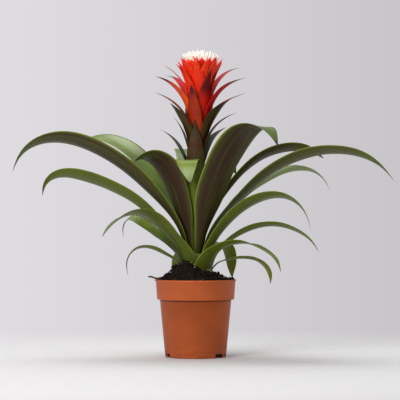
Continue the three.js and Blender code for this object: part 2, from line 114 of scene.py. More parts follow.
# ------------------------------------------------------------------ settings
def colour_setting(name, description, value):
    return FloatVectorProperty(name=name, description=description, default=value,
                               size=3, min=0, max=1, subtype="COLOR")


class PotSettings(bpy.types.PropertyGroup):
    plastic: colour_setting("Plastic", "Colour of the moulded pot", (0.50, 0.105, 0.026))


class SoilSettings(bpy.types.PropertyGroup):
    peat: colour_setting("Peat", "Colour of the damp mix", (0.006, 0.004, 0.003))
    crumbs: IntProperty(name="Crumbs", description="Loose crumbs on the mix",
                        default=640, min=0, max=2000)
    fibres: IntProperty(name="Fibres", description="Root fibres on the mix",
                        default=90, min=0, max=300)
    heap: FloatProperty(name="Heap", description="How far the mix is heaped at the front",
                        default=9 * MM, min=0, max=20 * MM, unit="LENGTH")
    roughness: FloatProperty(name="Lumpiness", description="Height of the lumps",
                             default=2.6 * MM, min=0, max=5 * MM, unit="LENGTH")


class LeafSettings(bpy.types.PropertyGroup):
    deep: colour_setting("Deep green", "Darker green of the upper side", (0.034, 0.066, 0.006))
    fresh: colour_setting("Fresh green", "Lighter green of the upper side",
                          (0.110, 0.175, 0.014))
    olive: colour_setting("Olive", "Green of the underside", (0.060, 0.094, 0.010))
    mauve: colour_setting("Mauve brown", "Brown flush of the underside",
                          (0.048, 0.026, 0.016))
    ripple: FloatProperty(name="Ripple", description="How far the margins wave",
                          default=0.9 * MM, min=0, max=4 * MM, unit="LENGTH")


class HeadSettings(bpy.types.PropertyGroup):
    red: colour_setting("Red", "Body of the upright bracts", (0.84, 0.026, 0.006))
    crimson: colour_setting("Crimson", "Body of the spreading bracts", (0.62, 0.010, 0.014))
    cream: colour_setting("Cream", "Tips of the florets", (0.95, 0.89, 0.80))
    florets: IntProperty(name="Florets", description="Pale tipped florets in the dome",
                         default=72, min=10, max=200)
    points: IntProperty(name="Points", description="Narrow red bracts round the florets",
                        default=42, min=6, max=60)


class StageSettings(bpy.types.PropertyGroup):
    backdrop: colour_setting("Backdrop", "Pale grey behind the plant", (0.68, 0.66, 0.69))
    key: FloatProperty(name="Key light", description="Power of the main soft light",
                       default=41, min=0, max=1000, unit="POWER")


# ------------------------------------------------------------------- helpers
def clear_selection():
    """Leaves edit mode and selects nothing."""
    if bpy.context.mode != "OBJECT":
        bpy.ops.object.mode_set(mode="OBJECT")
    bpy.ops.object.select_all(action="DESELECT")


def hold(piece):
    """Makes a piece the one selected object."""
    clear_selection()
    piece.select_set(True)
    bpy.context.view_layer.objects.active = piece


def piece_of(name, mesh):
    """A new object that shows the mesh."""
    piece = bpy.data.objects.new(name, mesh)
    bpy.context.scene.collection.objects.link(piece)
    return piece


def piece_from(name, making):
    """A new object with the shape that was made in edit data, which is then freed."""
    mesh = bpy.data.meshes.new(name)
    making.to_mesh(mesh)
    making.free()
    return piece_of(name, mesh)


def copy_of_node(node, name):
    """A copy of a CAD node's mesh whose loose triangles are merged."""
    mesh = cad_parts[node].data.copy()
    mesh.materials.clear()
    piece = piece_of(name, mesh)
    hold(piece)
    bpy.ops.object.mode_set(mode="EDIT")
    bpy.ops.mesh.select_all(action="SELECT")
    bpy.ops.mesh.remove_doubles(threshold=SAME_POINT)
    bpy.ops.object.mode_set(mode="OBJECT")
    return piece


def subdivide(piece, levels, kind="CATMULL_CLARK"):
    hold(piece)
    modifier = piece.modifiers.new("Subdivision", "SUBSURF")
    modifier.levels = modifier.render_levels = levels
    modifier.subdivision_type = kind
    bpy.ops.object.modifier_apply(modifier=modifier.name)


def point_outwards(piece):
    """Turns every face of a closed piece to the outside."""
    hold(piece)
    bpy.ops.object.mode_set(mode="EDIT")
    bpy.ops.mesh.select_all(action="SELECT")
    bpy.ops.mesh.normals_make_consistent(inside=False)
    bpy.ops.object.mode_set(mode="OBJECT")


def complete(piece, material, nodes=(), angle=None):
    """Last steps of every piece: shading, material, body, and hiding the CAD nodes it takes the
    place of.
    """
    hold(piece)
    if angle is None:
        bpy.ops.object.shade_smooth()
    else:
        bpy.ops.object.shade_smooth_by_angle(angle=math.radians(angle))
    piece.data.materials.append(material)
    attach(piece, "root")
    if nodes:
        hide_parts(*nodes)


def smooth(value, low, high):
    """Eases from 0 to 1 as the value goes from low to high."""
    share = min(1, max(0, (value - low) / (high - low)))
    return share * share * (3 - 2 * share)


# ------------------------------------------------------------ material nodes
def tint(red, green, blue):
    """Linear colour from the usual 0 to 255 values."""
    def linear(value):
        value /= 255
        return value / 12.92 if value <= 0.04045 else ((value + 0.055) / 1.055) ** 2.4
    return linear(red), linear(green), linear(blue), 1


def solid(colour):
    """The colour with full opacity."""
    return tuple(colour) + (1,) if len(colour) == 3 else tuple(colour)


class Finish:
    """A node material in the making, with one Principled shader."""

    def __init__(self, name):
        self.material = bpy.data.materials.new(name)
        self.material.use_nodes = True
        self.tree = self.material.node_tree
        self.tree.nodes.clear()
        self.shader = self.add("BsdfPrincipled")
        output = self.add("OutputMaterial")
        self.tree.links.new(self.shader.outputs[0], output.inputs["Surface"])

    def add(self, kind, inputs=None, **settings):
        """A new node with its settings, and its inputs linked or set."""
        made = self.tree.nodes.new("ShaderNode" + kind)
        for key, value in settings.items():
            setattr(made, key, value)
        for key, value in (inputs or {}).items():
            self.put(made, key, value)
        return made

    def put(self, made, key, value):
        if isinstance(value, bpy.types.NodeSocket):
            self.tree.links.new(value, made.inputs[key])
        else:
            made.inputs[key].default_value = value

    def set(self, **sockets):
        """Gives the shader's sockets their values; an underscore stands for a space."""
        for key, value in sockets.items():
            self.put(self.shader, key.replace("_", " "), value)

    def maths(self, operation, *values):
        return self.add("Math", dict(enumerate(values)), operation=operation).outputs[0]

    def between(self, value, low, high, start=0.0, end=1.0):
        """Goes smoothly from start to end as the value goes from low to high."""
        return self.add("MapRange", {
            "Value": value, "From Min": low, "From Max": high,
            "To Min": start, "To Max": end}, interpolation_type="SMOOTHSTEP").outputs[0]

    def blend(self, share, first, second, kind="MIX"):
        made = self.add("Mix", data_type="RGBA", blend_type=kind)
        for key, value in ((0, share), (6, first), (7, second)):
            if isinstance(value, tuple):
                value = solid(value)
            self.put(made, key, value)
        return made.outputs[2]

    def place(self):
        return self.add("TexCoord").outputs["Object"]

    def stretched(self, vector, x, y, z):
        return self.add("VectorMath", {0: vector, 1: (x, y, z)},
                        operation="MULTIPLY").outputs[0]

    def grain(self, vector, scale, detail=3.0, roughness=0.5):
        """Cloudy noise, about 0.2 to 0.8."""
        return self.add("TexNoise", {
            "Vector": vector, "Scale": scale, "Detail": detail,
            "Roughness": roughness}).outputs["Fac"]

    def specks(self, vector, scale):
        """Distance from the nearest of many scattered points."""
        return self.add("TexVoronoi", {"Vector": vector, "Scale": scale}).outputs["Distance"]

    def relief(self, height, distance, strength):
        bump = self.add("Bump", {"Height": height, "Distance": distance,
                                 "Strength": strength})
        self.tree.links.new(bump.outputs[0], self.shader.inputs["Normal"])

    def edge(self, across):
        """0 along a blade's middle, 1 at its margins."""
        return self.maths("ABSOLUTE", self.maths("MULTIPLY_ADD", across, 2.0, -1.0))

    def height(self, place):
        return self.add("SeparateXYZ", {0: place}).outputs[2]

    def blade_map(self):
        """Across (0 to 1), along (0 to 1), and 1 on the underside."""
        axes = self.add("SeparateXYZ", {0: self.add("UVMap", uv_map="blade").outputs[0]})
        under = self.maths("GREATER_THAN", axes.outputs[0], 1.5)
        across = self.maths("MULTIPLY_ADD", under, -UNDER, axes.outputs[0])
        return across, axes.outputs[1], under


# ----------------------------------------------------------------- materials
def leaf_skin(settings):
    """Glossy green above, olive with a brown flush below, with fine lengthwise veins."""
    gold, lime, pale_vein = tint(136, 156, 30), tint(132, 146, 26), tint(150, 158, 82)
    dark_vein, olive_light = tint(22, 26, 12), tint(96, 110, 30)
    painted_foot_shade, margin_highlight, dry_tip = tint(60, 68, 16), tint(156, 166, 76), tint(58, 40, 30)
    skin = Finish("leaf_skin")
    across, along, under = skin.blade_map()
    brown = skin.add("Attribute", attribute_name="flush").outputs["Fac"]
    yellow = skin.add("Attribute", attribute_name="yellow").outputs["Fac"]
    place = skin.place()
    edge = skin.edge(across)
    lane = skin.add("CombineXYZ", {0: across, 1: along, 2: brown}).outputs[0]
    veins = skin.grain(skin.stretched(lane, 26, 1.8, 9), 1.0, 2.0)
    streaks = skin.grain(skin.stretched(lane, 9, 1.6, 9), 1.0, 3.0)
    patches = skin.grain(place, 16, 4.0, 0.6)

    upper = skin.blend(skin.between(patches, 0.32, 0.68), settings.deep[:], settings.fresh[:])
    upper = skin.blend(skin.maths("MULTIPLY", yellow, skin.between(along, 0.15, 0.95, 0.35, 1.0)),
                       upper, gold)
    flush = skin.maths("MULTIPLY", brown, skin.between(along, 0.72, 1.0, 1.0, 0.25))
    flush = skin.maths("MULTIPLY", flush, skin.between(streaks, 0.25, 0.62, 0.7, 1.15))
    flush = skin.maths("MULTIPLY", flush, skin.between(edge, 0.7, 0.96, 1.0, 0.15))
    lower = skin.blend(skin.between(patches, 0.3, 0.7), settings.olive[:], olive_light)
    lower = skin.blend(skin.maths("MULTIPLY", yellow, skin.between(along, 0.1, 0.9, 0.25, 0.9)),
                       lower, lime)
    lower = skin.blend(skin.maths("MINIMUM", flush, 1.0), lower, settings.mauve[:])
    body = skin.blend(under, upper, lower)
    body = skin.blend(skin.between(veins, 0.42, 0.66, 0.0, 0.4), body, pale_vein,
                      "SOFT_LIGHT")
    body = skin.blend(skin.between(veins, 0.5, 0.3, 0.0, 0.3), body, dark_vein)
    # Painted shade: the blade darkens towards its foot, deep in the rosette between the leaves.
    foot = skin.blend(skin.between(along, 0.02, 0.16), painted_foot_shade, body)
    foot_shade_share = skin.between(along, 0.0, 0.2, 0.6, 0.0)
    body = skin.blend(foot_shade_share, body, foot)
    # Painted highlight: a thin pale line along the margins.
    body = skin.blend(skin.between(edge, 0.9, 0.985, 0.0, 0.6), body, margin_highlight)
    body = skin.blend(skin.between(along, 0.955, 0.99), body, dry_tip)
    gloss = skin.maths("MULTIPLY_ADD", under, -0.4, 0.55)
    skin.set(Base_Color=body, Roughness=skin.between(patches, 0.2, 0.8, 0.3, 0.44),
             Specular_IOR_Level=gloss)
    skin.relief(skin.maths("ADD", veins, streaks), 0.2 * MM, 0.25)
    return skin.material


def bract_skin(name, foot, body, tip, tip_from, tip_full, glow):
    """Satin skin whose colour runs from foot through body, mottled with glow, to tip."""
    skin = Finish(name)
    across, along, _ = skin.blade_map()
    place = skin.place()
    lane = skin.add("CombineXYZ", {0: across, 1: along}).outputs[0]
    veins = skin.grain(skin.stretched(lane, 16, 1.5, 1), 1.0, 2.0)
    patches = skin.grain(place, 42, 4.0, 0.6)
    shade = tuple(0.5 * channel for channel in body[:3])
    colour = skin.blend(skin.between(patches, 0.3, 0.75), body, glow)
    colour = skin.blend(skin.between(veins, 0.55, 0.28, 0.0, 0.55), colour, shade)
    colour = skin.blend(skin.between(along, 0.05, 0.38), foot, colour)
    wander = skin.maths("MULTIPLY_ADD", patches, 0.22, skin.maths("ADD", along, -0.11))
    colour = skin.blend(skin.between(wander, tip_from, tip_full), colour, tip)
    edge = skin.edge(across)
    colour = skin.blend(skin.between(edge, 0.86, 1.0, 0.0, 0.28), colour, shade)
    skin.set(Base_Color=colour, Roughness=skin.between(patches, 0.2, 0.8, 0.33, 0.5),
             Specular_IOR_Level=0.2)
    skin.relief(veins, 0.2 * MM, 0.25)
    return skin.material


def floret_skin(settings):
    """Red that turns to cream at the tip, with painted shade towards the foot."""
    skin = Finish("floret_skin")
    uv = skin.add("SeparateXYZ", {0: skin.add("UVMap", uv_map="blade").outputs[0]})
    around, along = uv.outputs[0], uv.outputs[1]
    patches = skin.grain(skin.place(), 120, 3.0)
    lane = skin.add("CombineXYZ", {0: around, 1: along}).outputs[0]
    veins = skin.grain(skin.stretched(lane, 14, 2, 1), 1.0)
    red = skin.blend(skin.between(patches, 0.3, 0.7), settings.red[:], tint(248, 70, 22))
    edge = skin.maths("MULTIPLY_ADD", patches, 0.16, along)
    colour = skin.blend(skin.between(edge, 0.8, 0.9), red, settings.cream[:])
    # Painted shade: the red darkens towards the florets' feet, deep in the crowded dome.
    colour = skin.blend(skin.between(along, 0.15, 0.55, 0.45, 0.0), colour, tint(150, 20, 16))
    skin.set(Base_Color=colour, Roughness=skin.between(veins, 0.3, 0.7, 0.38, 0.52),
             Specular_IOR_Level=0.3)
    skin.relief(veins, 0.15 * MM, 0.6)
    return skin.material


def pot_plastic(settings):
    """Satin moulded plastic with fine turned lines, scuffs low down and a painted shadow under the
    collar.
    """
    scuff, shadow = tint(120, 52, 30), tint(52, 20, 8)
    scuff_top, scuff_full, band = 32 * MM, 6 * MM, 2 * MM
    skin = Finish("pot_plastic")
    place = skin.place()
    cloud = skin.grain(place, 26, 4.0, 0.55)
    fine = skin.grain(place, 900, 2.0, 0.6)
    turned = skin.grain(skin.stretched(place, 1.2, 1.2, 210), 3.0, 3.0, 0.7)
    rubs = skin.grain(skin.stretched(place, 26, 26, 380), 1.0, 3.0, 0.6)
    height = skin.height(place)
    body = skin.blend(skin.between(cloud, 0.3, 0.7), settings.plastic[:],
                      tuple(0.86 * channel for channel in settings.plastic))
    low = skin.between(height, scuff_top, scuff_full)
    worn = skin.maths("MULTIPLY", skin.between(rubs, 0.54, 0.62), low)
    body = skin.blend(skin.maths("MULTIPLY", worn, 0.45), body, scuff)
    # Painted shadow: a dark band just under the collar, where the collar shades the wall.
    shade = skin.maths("MULTIPLY", skin.between(height, COLLAR_SHADE - band, COLLAR_SHADE),
                       skin.between(height, COLLAR_SHADE + band, COLLAR_SHADE, 0.0, 0.7))
    body = skin.blend(shade, body, shadow)
    skin.set(Base_Color=body, Roughness=skin.between(fine, 0.25, 0.75, 0.42, 0.54),
             Specular_IOR_Level=0.2)
    ridges = skin.maths("MULTIPLY_ADD", turned, 0.6, skin.maths("MULTIPLY", fine, 0.5))
    skin.relief(ridges, 0.12 * MM, 0.5)
    return skin.material


def potting_mix(settings):
    """Damp dark peat with paler bits."""
    damp, bit = tint(44, 31, 23), tint(112, 84, 60)
    skin = Finish("potting_mix")
    place = skin.place()
    lumps = skin.grain(place, 240, 6.0, 0.7)
    bits = skin.specks(place, 620)
    body = skin.blend(skin.between(lumps, 0.4, 0.75), settings.peat[:], damp)
    body = skin.blend(skin.between(bits, 0.16, 0.06, 0.0, 0.4), body, bit)
    skin.set(Base_Color=body, Roughness=skin.between(lumps, 0.2, 0.8, 0.7, 1.0),
             Specular_IOR_Level=0.12)
    skin.relief(skin.maths("ADD", lumps, bits), 0.8 * MM, 0.9)
    return skin.material


def wood_skin(name, dark, light):
    """Rough dry wood with a fine grain."""
    skin = Finish(name)
    place = skin.place()
    grain = skin.grain(skin.stretched(place, 0.25, 1.6, 1.6), 260, 5.0, 0.65)
    body = skin.blend(skin.between(grain, 0.35, 0.7), dark, light)
    skin.set(Base_Color=body, Roughness=skin.between(grain, 0.2, 0.8, 0.65, 0.9))
    skin.relief(grain, 0.5 * MM, 0.8)
    return skin.material


def stalk_skin():
    """Ribbed stem tissue, green at the foot and brown further up."""
    green_to, brown_from, groove = 165 * MM, 215 * MM, tint(50, 42, 24)
    skin = Finish("stalk_skin")
    place = skin.place()
    height = skin.height(place)
    lines = skin.grain(skin.stretched(place, 260, 260, 12), 1.0, 3.0)
    patches = skin.grain(place, 40, 3.0)
    green = skin.blend(skin.between(patches, 0.3, 0.7), tint(84, 98, 38), tint(116, 124, 58))
    brown = skin.blend(skin.between(patches, 0.3, 0.7), tint(70, 35, 28), tint(86, 58, 34))
    body = skin.blend(skin.between(height, green_to, brown_from), green, brown)
    body = skin.blend(skin.between(lines, 0.5, 0.3, 0.0, 0.5), body, groove)
    skin.set(Base_Color=body, Roughness=skin.between(lines, 0.2, 0.8, 0.38, 0.55))
    skin.relief(lines, 0.3 * MM, 0.7)
    return skin.material


# -------------------------------------------------------------------- blades
def rings_of(node):
    """A CAD blade's rings of points from foot to tip, each starting at one margin and
    going across the upper side first, and its tip."""
    mesh = bmesh.new()
    mesh.from_mesh(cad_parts[node].data)
    bmesh.ops.remove_doubles(mesh, verts=mesh.verts, dist=SAME_POINT)
    tip = max(mesh.verts, key=lambda vert: len(vert.link_edges))
    # How many edges away from the tip each point is: one ring has one level.
    level = {tip: 0}
    front = [tip]
    while front:
        reached = []
        for vert in front:
            for edge in vert.link_edges:
                other = edge.other_vert(vert)
                if other not in level:
                    level[other] = level[vert] + 1
                    reached.append(other)
        front = reached

    def on_ring(edge):
        start, end = edge.verts
        return level[start] == level[end] and any(
            level[vert] != level[start] for face in edge.link_faces for vert in face.verts)

    rings = []
    before = None
    for height in range(max(level.values()), 0, -1):
        ring = [vert for vert in mesh.verts if level[vert] == height]
        if len(ring) != RING:
            raise RuntimeError(f"{node} has a ring of {len(ring)} points")
        pairs = [(one, two) for one in ring for two in ring]
        start, end = max(pairs, key=lambda pair: (pair[0].co - pair[1].co).length)
        if before and not any(edge.other_vert(start) is before for edge in start.link_edges):
            start = end
        order = [start]
        while len(order) < RING:
            order.append(next(
                edge.other_vert(order[-1]) for edge in order[-1].link_edges
                if on_ring(edge) and edge.other_vert(order[-1]) not in order))
        between = (order[0].co + order[HALF].co) / 2
        if (order[2].co - between).length > (order[6].co - between).length:
            order = order[:1] + order[:0:-1]
        rings.append([vert.co.copy() for vert in order])
        before = start
    top = tip.co.copy()
    mesh.free()
    return rings, top


def reach_down(rings, depth):
    """Adds a ring below the first, so that a blade's foot runs on inside its neighbours."""
    middles = [sum(ring, Vector()) / RING for ring in rings[:2]]
    step = (middles[0] - middles[1]).normalized() * depth
    return [[point + step for point in rings[0]]] + rings


def widen(rings, share, tip_share):
    """Spreads each ring's points along the line between its margins, more near the tip."""
    for row, ring in enumerate(rings):
        middle = (ring[0] + ring[HALF]) / 2
        span = (ring[HALF] - ring[0]).normalized()
        along = row / (len(rings) - 1)
        grow = (share - 1) * smooth(along, 0.05, 0.3) + (tip_share - 1) * smooth(along, 0.4, 1)
        for point in ring:
            point += span * (point - middle).dot(span) * grow


def wave(rings, ripple, seed):
    """Lifts and lowers a blade in slow waves, strongest at the margins."""
    for row, ring in enumerate(rings):
        along = row / len(rings)
        upward = (ring[2] - ring[6]).normalized()
        envelope = smooth(along, 0.2, 0.45)
        for i, point in enumerate(ring):
            side = (i if i <= HALF else RING - i) / 2 - 1
            # Each margin swells on its own, and the whole blade drifts up and down.
            swell = noise.noise(Vector((along * 8, 3.1 if side > 0 else -4.7, seed * 7.3)))
            drift = noise.noise(Vector((along * 3.5, side * 0.6, seed * 5.1 + 20)))
            point += upward * ripple * envelope * (1.6 * swell * side * side + drift)


def blade(node, seed, ripple, depth, breadth, tip_breadth):
    """A smooth blade over a CAD blade's rings, with a map of across and along. Its
    margins, its foot and its tip stay sharp when it is subdivided."""
    rings, tip = rings_of(node)
    widen(rings, breadth, tip_breadth)
    wave(rings, ripple, seed)
    heights = [row / len(rings) for row in range(len(rings))] + [1.0]
    rings = reach_down(rings, depth)
    heights = [-heights[1]] + heights
    rows = len(rings)
    points = [point for ring in rings for point in ring] + [tip]
    faces, places = [], []
    for row in range(rows):
        low, high = heights[row], heights[row + 1]
        for i in range(RING):
            j = (i + 1) % RING
            if i < HALF:
                left, right = i / HALF, (i + 1) / HALF
            else:
                left, right = UNDER + (RING - i) / HALF, UNDER + (RING - i - 1) / HALF
            if row < rows - 1:
                faces.append((row * RING + i, row * RING + j,
                              (row + 1) * RING + j, (row + 1) * RING + i))
                places.append(((left, low), (right, low), (right, high), (left, high)))
            else:
                faces.append((row * RING + i, row * RING + j, len(points) - 1))
                places.append(((left, low), (right, low), ((left + right) / 2, 1)))
    for i in range(HALF):
        face = dict.fromkeys([i, i + 1, RING - i - 1, (RING - i) % RING])
        faces.append(tuple(face)[::-1])
        places.append(tuple((UNDER + 0.5, heights[0]) for _ in face))
    mesh = bpy.data.meshes.new(node + "_blade")
    mesh.from_pydata([tuple(point) for point in points], [], faces)
    mesh.validate()
    piece = piece_of(mesh.name, mesh)
    uv = mesh.uv_layers.new(name="blade")
    spots = [spot for face in places for spot in face]
    uv.data.foreach_set("uv", [value for spot in spots for value in spot])
    sharp = {frozenset((row * RING + side, (row + 1) * RING + side))
             for row in range(rows - 1) for side in (0, HALF)}
    sharp |= {frozenset(((rows - 1) * RING + side, rows * RING)) for side in (0, HALF)}
    sharp |= {frozenset((i, (i + 1) % RING)) for i in range(RING)}
    crease = mesh.attributes.new("crease_edge", "FLOAT", "EDGE")
    crease.data.foreach_set("value", [
        1.0 if frozenset(edge.vertices) in sharp else 0.0 for edge in mesh.edges])
    point = mesh.attributes.new("crease_vert", "FLOAT", "POINT")
    point.data.foreach_set("value", [0.0] * (len(points) - 1) + [1.0])
    point_outwards(piece)
    subdivide(piece, 2)
    return piece


def mark(piece, **amounts):
    """Stores one number for the whole piece under each name, for its material."""
    count = len(piece.data.vertices)
    for name, amount in amounts.items():
        layer = piece.data.attributes.new(name, "FLOAT", "POINT")
        layer.data.foreach_set("value", [amount] * count)


# ----------------------------------------------------------------- operators
class BROMELIAD_OT_leaves(bpy.types.Operator):
    """Grow the strap leaves over their CAD blades"""
    bl_idname = "bromeliad.leaves"
    bl_label = "Leaves"

    def execute(self, context):
        settings = context.scene.bromeliad_leaf
        skin = leaf_skin(settings)
        body, tip = LEAF_BREADTH
        for seed, (node, (brown, yellow)) in enumerate(LEAF_TONES.items()):
            piece = blade(node, seed, settings.ripple, LEAF_FOOT, body,
                          FULL_LEAVES.get(node, tip))
            mark(piece, flush=brown, yellow=yellow)
            complete(piece, skin, [node])
        return {"FINISHED"}


class BROMELIAD_OT_bracts(bpy.types.Operator):
    """Clad the stalk and the funnel in coloured bracts"""
    bl_idname = "bromeliad.bracts"
    bl_label = "Bracts"

    def execute(self, context):
        head = context.scene.bromeliad_head
        first_seed, seeds_each = 40, 10  # past the leaves' seeds
        # Each skin's foot, body and tip colours, where along the blade the tip colour
        # starts and is full, and the glow that mottles the body.
        groups = (
            (OLIVE_SHEATHS, "bract_brown", bract_skin(
                "olive_sheath", tint(70, 54, 24), tint(60, 72, 22), tint(52, 52, 28),
                0.6, 0.9, tint(78, 90, 28))),
            (BROWN_SHEATHS, "bract_brown", bract_skin(
                "brown_sheath", tint(84, 32, 14), tint(72, 40, 20), tint(48, 42, 22),
                0.66, 0.95, tint(70, 66, 22))),
            (EMBER_BRACTS, "bract_ember", bract_skin(
                "ember_bract", tint(178, 62, 12), tint(178, 44, 10), tint(58, 30, 26),
                0.72, 0.9, tint(140, 38, 12))),
            (MAROON_BRACTS, "bract_ember", bract_skin(
                "maroon_bract", tint(232, 46, 14), tint(210, 26, 10), tint(96, 18, 18),
                0.42, 0.72, tint(220, 40, 14))),
            (ORANGE_BRACTS, "bract_orange", bract_skin(
                "orange_bract", tint(206, 38, 12), tint(240, 66, 16), tint(88, 30, 32),
                0.72, 0.94, tint(248, 96, 26))),
            (CRIMSON_BRACTS, "bract_red", bract_skin(
                "crimson_bract", tint(226, 40, 16), solid(head.crimson), tint(70, 22, 32),
                0.68, 0.92, tint(220, 28, 28))),
            (RED_BRACTS, "bract_red", bract_skin(
                "red_bract", tint(240, 72, 14), solid(head.red), tint(222, 22, 20),
                0.7, 0.95, tint(246, 54, 14))),
        )
        for group, (nodes, slot, skin) in enumerate(groups):
            for seed, node in enumerate(nodes):
                breadth = ERECT_BREADTH if node.startswith(ERECT) else ARCHING_BREADTH
                piece = blade(node, first_seed + seeds_each * group + seed,
                              BRACT_WAVE, BRACT_FOOT, *breadth)
                complete(piece, skin, [node])
        return {"FINISHED"}


class BROMELIAD_OT_florets(bpy.types.Operator):
    """Crowd the funnel with narrow red florets that end in cream tips"""
    bl_idname = "bromeliad.florets"
    bl_label = "Florets"

    def execute(self, context):
        settings = context.scene.bromeliad_head
        low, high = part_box("floret_dome")
        middle = (low + high) / 2
        dome, droop = 29.5, 8.5  # millimetres: its radius, and how far its edge hangs
        # Rings of bracts round it: nearest and furthest reach, drop of the tips, width,
        # and drop of the feet.
        rings = ((34, 39, 17, 13.0, 78), (30, 34, 14, 12.0, 72), (26, 30, 12, 10.0, 66))
        draw = random.Random(11)
        crowd = bmesh.new()
        uv = crowd.loops.layers.uv.new("blade")

        def stand(angle, foot, foot_drop, reach, top_drop, width, depth, arch, tip_at):
            """Adds one floret; foot and reach are distances in millimetres from the
            dome's axis, and the drops are measured down from its top."""
            aim = Vector((math.cos(angle), math.sin(angle), 0))
            root = Vector((middle.x, middle.y, high.z - foot_drop * MM)) + aim * foot * MM
            end = Vector((middle.x, middle.y, high.z - top_drop * MM)) + aim * reach * MM
            spike(crowd, uv, root, end, width * MM, depth * MM, angle, arch, tip_at)

        for i in range(settings.florets):
            share = math.sqrt((i + 0.5) / settings.florets)
            angle = i * GOLDEN_ANGLE + draw.uniform(-0.12, 0.12)
            reach = dome * share
            drop = 0.5 + droop * share ** 2.2 + draw.uniform(-1.0, 2.0)
            stand(angle, foot=0.35 * reach, foot_drop=50, reach=reach, top_drop=drop,
                  width=5.6, depth=4.6, arch=0.1 * share, tip_at=1.0)
        for level, (near, far, drop, width, foot_drop) in enumerate(rings):
            count = settings.points // len(rings)
            for i in range(count):
                turn = i + level / len(rings) + draw.uniform(-0.2, 0.2)
                angle = turn * 2 * math.pi / count
                stand(angle, foot=9, foot_drop=foot_drop, reach=draw.uniform(near, far),
                      top_drop=drop + draw.uniform(-2, 3), width=width, depth=1.5,
                      arch=0.2, tip_at=0.75)
        piece = piece_from("florets", crowd)
        point_outwards(piece)
        complete(piece, floret_skin(settings), ["floret_dome"])
        return {"FINISHED"}


def spike(mesh, uv, root, end, width, depth, angle, arch, tip_at):
    """A narrow pointed floret from root to end, its flat side outwards, which bows in
    by its arch. tip_at is how far along its map the tip lies: at 1 the tip is cream,
    and at 0.75 it is still red."""
    # Share of the length, and share of the full width and depth there.
    outline = ((0.0, 0.4), (0.3, 0.72), (0.55, 0.95), (0.72, 1.0), (0.84, 0.8), (0.93, 0.45))
    sides = 6
    out = Vector((math.cos(angle), math.sin(angle), 0))
    length = (end - root).length
    rows = []
    for share, thick in outline:
        centre = root.lerp(end, share) - out * arch * length * 4 * share * (1 - share) * 0.5
        axis = (end - root).normalized()
        across = axis.cross(out).normalized()
        face = across.cross(axis).normalized()
        row = []
        for k in range(sides):
            turn = 2 * math.pi * k / sides
            row.append(mesh.verts.new(
                centre + across * math.cos(turn) * width * thick / 2
                + face * math.sin(turn) * depth * thick / 2))
        rows.append((share, row))
    top = mesh.verts.new(end)
    foot = mesh.verts.new(root)
    for (low, lower), (high, upper) in zip(rows, rows[1:]):
        for k in range(sides):
            n = (k + 1) % sides
            panel(mesh, uv, (lower[k], lower[n], upper[n], upper[k]),
                  (low, low, high, high), k / sides, tip_at)
    for k in range(sides):
        n = (k + 1) % sides
        panel(mesh, uv, (rows[-1][1][k], rows[-1][1][n], top),
              (rows[-1][0], rows[-1][0], 1), k / sides, tip_at)
        panel(mesh, uv, (rows[0][1][n], rows[0][1][k], foot), (0, 0, 0), k / sides, tip_at)


def panel(mesh, uv, corners, heights, around, tip_at):
    """One face of a floret, mapped by its place round and along it."""
    face = mesh.faces.new(corners)
    for loop, height in zip(face.loops, heights):
        loop[uv].uv = (around, height * tip_at)


class BROMELIAD_OT_pot(bpy.types.Operator):
    """Smooth the moulded pot with its collar, rolled lip and drain notches"""
    bl_idname = "bromeliad.pot"
    bl_label = "Pot"

    def execute(self, context):
        settings = context.scene.bromeliad_pot
        piece = copy_of_node("pot", "pot_shell")
        complete(piece, pot_plastic(settings), ["pot"], angle=32)
        return {"FINISHED"}


class BROMELIAD_OT_soil(bpy.types.Operator):
    """Heap the potting mix with lumps, crumbs and fibres"""
    bl_idname = "bromeliad.soil"
    bl_label = "Potting mix"

    def execute(self, context):
        settings = context.scene.bromeliad_soil
        mix = potting_mix(settings)
        bed = copy_of_node("soil", "soil_bed")
        subdivide(bed, 2, "SIMPLE")
        surface = MIX_EDGE - 0.2 * MM
        crest, spread = Vector((-12 * MM, -24 * MM)), 42 * MM
        skyward = [vert.normal.z for vert in bed.data.vertices]
        for vert, facing in zip(bed.data.vertices, skyward):
            if vert.co.z > surface and facing > 0.05:
                lump = noise.fractal(vert.co * 190, 0.8, 2.1, 4)
                heap = smooth(-(vert.co.xy - crest).length, -spread, 0)
                vert.co.z += settings.roughness * lump + settings.heap * heap
            elif vert.co.z < NOTCH_TOP:  # the mix bulges into the notches
                vert.co.xy += vert.co.xy.normalized() * MM
        bed.data.update()
        complete(bed, mix, ["soil"])
        tops = [(vert.co.copy(), vert.normal.copy()) for vert in bed.data.vertices
                if vert.co.z > surface and vert.normal.z > 0.25]
        scatter_crumbs(settings, tops, mix)
        scatter_fibres(settings, tops)
        return {"FINISHED"}


def scatter_crumbs(settings, tops, mix):
    """Loose lumpy crumbs of the mix that lie on the surface points."""
    draw = random.Random(5)
    clear_selection()
    bpy.ops.mesh.primitive_ico_sphere_add(subdivisions=2, radius=1)
    pattern = bpy.context.object
    for vert in pattern.data.vertices:
        vert.co *= 1 + 0.35 * noise.noise(vert.co * 1.7)
    heap = bmesh.new()
    for _ in range(settings.crumbs):
        spot, normal = draw.choice(tops)
        size = draw.uniform(0.6, 2.0) * MM * (1.7 if draw.random() < 0.14 else 1)
        turn = Euler([draw.uniform(0, 2 * math.pi) for _ in range(3)]).to_matrix().to_4x4()
        stretch = Matrix.Diagonal((size * draw.uniform(0.7, 1.5), size * draw.uniform(0.6, 1.1),
                                   size * draw.uniform(0.5, 0.9), 1))
        first = len(heap.verts)
        heap.from_mesh(pattern.data)
        heap.verts.ensure_lookup_table()
        move = Matrix.Translation(spot + normal * size * 0.3) @ turn @ stretch
        bmesh.ops.transform(heap, matrix=move, verts=heap.verts[first:])
    bpy.data.objects.remove(pattern)
    complete(piece_from("soil_crumbs", heap), mix)


